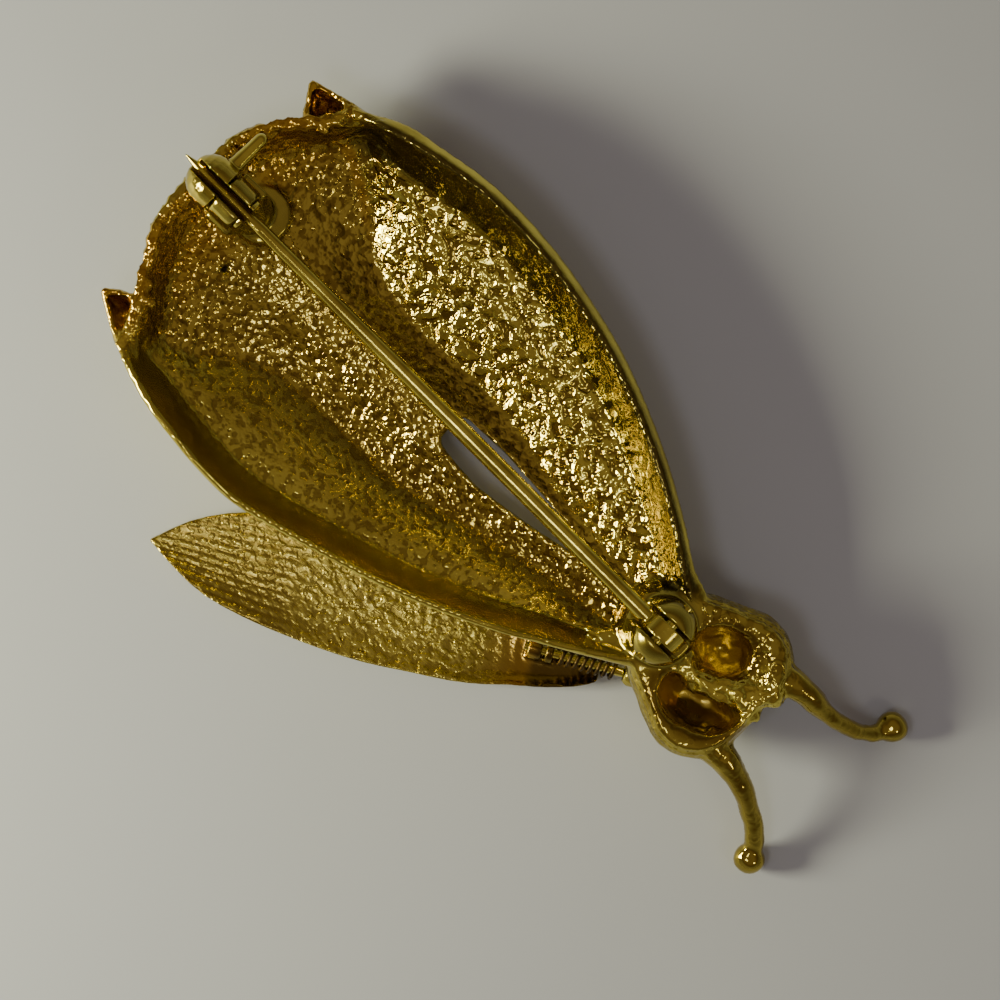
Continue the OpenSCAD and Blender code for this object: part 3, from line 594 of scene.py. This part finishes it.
def cast_gold(colours):
    """Bright plate over the rough casting."""
    material, tree, shader, place = fresh_material("cast_gold", metallic=1.0)
    bold = grouped(tree, grain_group(), place, Size=PEBBLE_SIZE, Pits=0.8).outputs
    small = grouped(tree, grain_group(), place, Size=BEAD_SIZE, Pits=0.8).outputs
    tiny = grouped(tree, grain_group(), place, Size=SPECK_SIZE, Pits=0.2).outputs
    wear = grouped(tree, wear_group(), place).outputs
    zones = {name: zone(tree, name) for name in NOTED_ZONES}
    fine, even, head, cups = zones["fine"], zones["even"], zones["head"], zones["cups"]
    plain_share = mathed(tree, "ADD", fine, even, clamp=True)
    bold_share = mathed(tree, "SUBTRACT", 1.0, plain_share)
    rough_here = zones["floor"]
    for more in (scaled(tree, head, 0.3), scaled(tree, zones["walls"], 0.26), 0.03):
        rough_here = mathed(tree, "ADD", rough_here, more, clamp=True)
    rough_here = scaled(tree, rough_here, mathed(tree, "SUBTRACT", 1.0, scaled(tree, zones["smooth"], 0.97)))
    coarse = scaled(tree, bold["Height"], bold_share)
    close = scaled(tree, small["Height"], scaled(tree, even, 0.28))
    beads = mathed(tree, "ADD", scaled(tree, small["Beads"], 0.42), scaled(tree, small["Height"], 0.12))
    height = coarse
    for more in (close, scaled(tree, tiny["Height"], 0.05), scaled(tree, beads, fine)):
        height = mathed(tree, "ADD", height, more)
    bumped(tree, shader, scaled(tree, height, rough_here), 0.09 * MM)
    # Painted shade in the grain's pits, weaker on the smooth findings and on the even floor
    pitted = mathed(tree, "MAXIMUM", scaled(tree, bold["Pit shade"], bold_share),
                    scaled(tree, small["Pit shade"], plain_share))
    pit_shade = mathed(tree, "MULTIPLY", pitted, rough_here, clamp=True)
    pit_shade = scaled(tree, pit_shade, mathed(tree, "SUBTRACT", 1.0, scaled(tree, even, 0.2)))
    # Painted shade darkens the grain's pits, the walls inside the rim and the shade zone, and the warm zone
    # carries a painted reflection beside the right valley
    colour = layered(tree, tuple(colours.plate), (
        (wear["Patch"], 0.35, colours.deep_plate_and_shade), (fine, 0.35, colours.cup_plate),
        (pit_shade, 0.8, colours.deep_plate_and_shade), (zones["walls"], 0.85, colours.dull_shade_plate),
        (head, 0.4, colours.deep_plate_and_shade), (zones["limbs"], 0.5, colours.deep_plate_and_shade),
        (zones["shade"], 0.6, colours.deep_plate_and_shade), (cups, 0.5, colours.cup_plate),
        (zones["bar"], 0.8, colours.plate), (zones["warm_and_reflection"], 0.55, colours.warm_plate_and_reflection),
        (zones["smooth"], 0.4, colours.dull_shade_plate), (zones["darkened_pit"], 1.0, colours.pit)))
    tree.links.new(colour, shader.inputs["Base Color"])
    plain = mathed(tree, "SUBTRACT", 1.0, rough_here, clamp=True)
    gloss = mathed(tree, "MULTIPLY_ADD", plain, 0.08, ramped(tree, wear["Patch"], (0.0, 1.0, 0.06, 0.12)))
    for share, rougher in ((zones["darkened_pit"], 0.4), (even, 0.1), (zones["limbs"], -0.07), (cups, 0.1)):
        gloss = mathed(tree, "ADD", gloss, scaled(tree, share, rougher), clamp=True)
    tree.links.new(gloss, shader.inputs["Roughness"])
    return material


def satin_gold(colours):
    """Satin plate of the side wing: long veins at the tip, pits in the middle, a smooth panel at the root."""
    material, tree, shader, place = fresh_material("wing_gold", metallic=1.0)
    grain = grouped(tree, grain_group(), place, Size=BEAD_SIZE, Pits=0.8).outputs
    wear = grouped(tree, wear_group(), place).outputs
    veins, root = zone(tree, "veins"), zone(tree, "root")
    plainer = mathed(tree, "ADD", scaled(tree, veins, 0.32), scaled(tree, root, 0.48))
    pitted = mathed(tree, "SUBTRACT", 0.5, plainer, clamp=True)
    bumped(tree, shader, scaled(tree, grain["Height"], pitted), 0.07 * MM)
    # The wing's grain pits take painted shade from the deep plate
    colour = layered(tree, tuple(colours.wing_plate), (
        (wear["Patch"], 0.45, colours.plate), (scaled(tree, grain["Pit shade"], pitted), 0.9, colours.deep_plate_and_shade),
        (root, 0.85, colours.wing_root), (veins, 0.8, colours.deep_plate_and_shade),
        (zone(tree, "lugs"), 0.7, colours.dull_shade_plate)))
    tree.links.new(colour, shader.inputs["Base Color"])
    satin = ramped(tree, wear["Scratch"], (0.3, 0.7, 0.2, 0.32))
    gloss = mathed(tree, "SUBTRACT", satin, scaled(tree, root, 0.1), clamp=True)
    tree.links.new(gloss, shader.inputs["Roughness"])
    return material


def scratched_metal(name, colour, tint, tint_share, roughness, scratch_depth):
    """Smooth metal in patches of two colours, with light scratches and a range of roughness."""
    material, tree, shader, place = fresh_material(name, metallic=1.0)
    wear = grouped(tree, wear_group(), place).outputs
    patches = layered(tree, tuple(colour), ((wear["Patch"], tint_share, tint),))
    tree.links.new(patches, shader.inputs["Base Color"])
    tree.links.new(ramped(tree, wear["Scratch"], (0.3, 0.7, *roughness)), shader.inputs["Roughness"])
    bumped(tree, shader, wear["Scratch"], scratch_depth)
    return material


def bright_gold(name, colours, roughness):
    """Bright smooth plate of the findings."""
    return scratched_metal(
        name, colours.plate, colours.deep_plate_and_shade, 0.5, (roughness, roughness + 0.1), 0.006 * MM)


def dark_wire(colours):
    """Darkened wire of the wing's coil, rubbed brighter in patches."""
    return scratched_metal("spring_wire", colours.wire, colours.rubbed_wire, 1.0, (0.25, 0.45), 0.01 * MM)


def table_top(colours):
    """Pale matt table with a faint mottle."""
    material, tree, shader, place = fresh_material("table_top")
    mottle = add(tree, "ShaderNodeTexNoise", Scale=60.0, Detail=5.0, Roughness=0.6)
    tree.links.new(place, mottle.inputs["Vector"])
    base = tuple(colours.table)
    darker = tuple(0.965 * c for c in base)
    tree.links.new(mixed(tree, mottle.outputs["Fac"], base, darker), shader.inputs["Base Color"])
    shader.inputs["Roughness"].default_value = 0.6
    return material


def settle(piece, body, node, material):
    """Gives a piece its material, its body and the CAD solid that it stands for."""
    piece.data.materials.append(material)
    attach(piece, body)
    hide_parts(node)


class BROOCH_OT_casting(bpy.types.Operator):
    """Make the pebbled casting with its head, antennae and soldered findings"""

    bl_idname = "brooch.casting"
    bl_label = "Casting"

    def execute(self, context):
        sizes, colours = context.scene.brooch_sizes, context.scene.brooch_colours
        piece = worn_copy("casting_skin", "body_casting", sizes.casting_grain)
        pebbled(piece, sizes.pebble_height)
        settle(piece, "casting", "body_casting", cast_gold(colours))
        return {"FINISHED"}


class BROOCH_OT_side_wing(bpy.types.Operator):
    """Make the satin side wing"""

    bl_idname = "brooch.side_wing"
    bl_label = "Side wing"

    def execute(self, context):
        sizes, colours = context.scene.brooch_sizes, context.scene.brooch_colours
        piece = worn_copy("wing_skin", "side_wing", sizes.wing_grain)
        wing_relief(piece, sizes.wing_height)
        settle(piece, "wing", "side_wing", satin_gold(colours))
        return {"FINISHED"}


class BROOCH_OT_pin(bpy.types.Operator):
    """Make the pin's wire, and plate its rivet and the wing's axle"""

    bl_idname = "brooch.pin"
    bl_label = "Pin"

    def execute(self, context):
        sizes, colours = context.scene.brooch_sizes, context.scene.brooch_colours
        piece = worn_copy("pin_wire", "pin_stem", sizes.finding_grain)
        settle(piece, "pin", "pin_stem", bright_gold("pin_gold", colours, 0.08))
        finding = bright_gold("finding_gold", colours, 0.05)
        for node in ("pin_rivet", "wing_axle"):
            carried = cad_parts[node]
            carried.data.materials.clear()
            carried.data.materials.append(finding)
        return {"FINISHED"}


class BROOCH_OT_catch(bpy.types.Operator):
    """Make the turning part of the catch"""

    bl_idname = "brooch.catch"
    bl_label = "Catch"

    def execute(self, context):
        sizes, colours = context.scene.brooch_sizes, context.scene.brooch_colours
        piece = worn_copy("catch_dome", "catch_rotor", sizes.finding_grain)
        settle(piece, "rotor", "catch_rotor", bright_gold("catch_gold", colours, 0.05))
        return {"FINISHED"}


class BROOCH_OT_spring(bpy.types.Operator):
    """Make the wing's coil of darkened wire"""

    bl_idname = "brooch.spring"
    bl_label = "Wing spring"

    def execute(self, context):
        sizes, colours = context.scene.brooch_sizes, context.scene.brooch_colours
        piece = worn_copy("coil_wire", "wing_spring", sizes.coil_grain)
        settle(piece, "casting", "wing_spring", dark_wire(colours))
        return {"FINISHED"}


def picture_place(right, up, height):
    """A place given by the photo's own directions, in metres from the middle of the brooch."""
    # The photo is turned by 45 degrees, whose sine and cosine are the same
    turn = math.sqrt(0.5)
    return turn * (right - up), turn * (right + up), height


def area_light(name, place, side, energy, colour):
    """A soft square light at a place, facing the middle of the brooch."""
    light = bpy.data.lights.new(name, "AREA")
    light.shape = "SQUARE"
    light.size = side
    light.energy = energy
    light.color = colour
    lamp = bpy.data.objects.new(name, light)
    lamp.location = place
    lamp.rotation_euler = (-Vector(place)).to_track_quat("-Z", "Y").to_euler()
    bpy.context.scene.collection.objects.link(lamp)


def room():
    """A dim brown room, paler towards the horizon, overhead and on the side where the light comes from."""
    world = bpy.data.worlds.new("room")
    world.use_nodes = True
    tree = world.node_tree
    back = tree.nodes["Background"]
    direction = add(tree, "ShaderNodeTexCoord").outputs["Generated"]
    split = add(tree, "ShaderNodeSeparateXYZ")
    tree.links.new(direction, split.inputs[0])
    low = mathed(tree, "SUBTRACT", 1.0, mathed(tree, "MAXIMUM", split.outputs["Z"], 0.0))
    lit_side = scaled(tree, mathed(tree, "ADD", split.outputs["X"], split.outputs["Y"]), -0.06)
    glow = scaled(tree, mathed(tree, "POWER", low, 2.0), mathed(tree, "ADD", lit_side, 0.33))
    overhead = ramped(tree, split.outputs["Z"], (0.5, 0.92, 0.0, 0.19))
    shade = mixed(tree, ramped(tree, low, (0.3, 0.75, 0.0, 1.0)), (1.0, 0.68, 0.44), (1.0, 0.94, 0.83))
    shade = mixed(tree, scaled(tree, overhead, 4.5), shade, (1.0, 0.80, 0.62))
    tree.links.new(shade, back.inputs["Color"])
    tree.links.new(mathed(tree, "ADD", mathed(tree, "ADD", glow, overhead), 0.05), back.inputs["Strength"])
    return world


class BROOCH_OT_studio(bpy.types.Operator):
    """Make the table, the soft lights and the camera"""

    bl_idname = "brooch.studio"
    bl_label = "Studio"

    def execute(self, context):
        sizes, colours = context.scene.brooch_sizes, context.scene.brooch_colours
        mesh = bpy.data.meshes.new("table")
        shape = bmesh.new()
        bmesh.ops.create_grid(shape, x_segments=2, y_segments=2, size=TABLE_HALF)
        shape.to_mesh(mesh)
        shape.free()
        mesh.materials.append(table_top(colours))
        table = bpy.data.objects.new("table", mesh)
        context.scene.collection.objects.link(table)
        for name, place, side, energy, colour in LIGHTS:
            area_light(name, picture_place(*place), side, energy, colour)
        context.scene.world = room()
        camera = bpy.data.cameras.new("camera")
        camera.sensor_width = 36.0
        camera.lens = sizes.lens
        camera.clip_start = 0.005
        viewer = bpy.data.objects.new("camera", camera)
        viewer.location = (*CAMERA_ASIDE, sizes.camera_height)
        viewer.rotation_euler = (0.0, 0.0, CAMERA_TURN)
        context.scene.collection.objects.link(viewer)
        bpy.context.scene.camera = viewer
        return {"FINISHED"}


STEPS = (
    BROOCH_OT_studio, BROOCH_OT_casting, BROOCH_OT_side_wing, BROOCH_OT_pin, BROOCH_OT_catch, BROOCH_OT_spring,
)


class BROOCH_PT_panel(bpy.types.Panel):
    """Lists the steps that dress the brooch"""

    bl_idname = "BROOCH_PT_panel"
    bl_label = "Insect brooch"
    bl_space_type = "VIEW_3D"
    bl_region_type = "UI"
    bl_category = "Brooch"

    def draw(self, context):
        for name in BroochSizes.__annotations__:
            self.layout.prop(context.scene.brooch_sizes, name)
        for name in BroochColours.__annotations__:
            self.layout.prop(context.scene.brooch_colours, name)
        for step in STEPS:
            self.layout.operator(step.bl_idname)


CLASSES = (BroochSizes, BroochColours, *STEPS, BROOCH_PT_panel)


def register():
    """Registers the classes and hangs the sizes and colours on the scene."""
    for kind in CLASSES:
        bpy.utils.register_class(kind)
    bpy.types.Scene.brooch_sizes = bpy.props.PointerProperty(type=BroochSizes)
    bpy.types.Scene.brooch_colours = bpy.props.PointerProperty(type=BroochColours)


def unregister():
    """Takes them away again."""
    del bpy.types.Scene.brooch_colours
    del bpy.types.Scene.brooch_sizes
    for kind in reversed(CLASSES):
        bpy.utils.unregister_class(kind)


def main():
    """Dresses the brooch step by step."""
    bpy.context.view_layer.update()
    register()
    for step in STEPS:
        group, action = step.bl_idname.split(".")
        getattr(getattr(bpy.ops, group), action)()


if __name__ == "__main__":
    main()
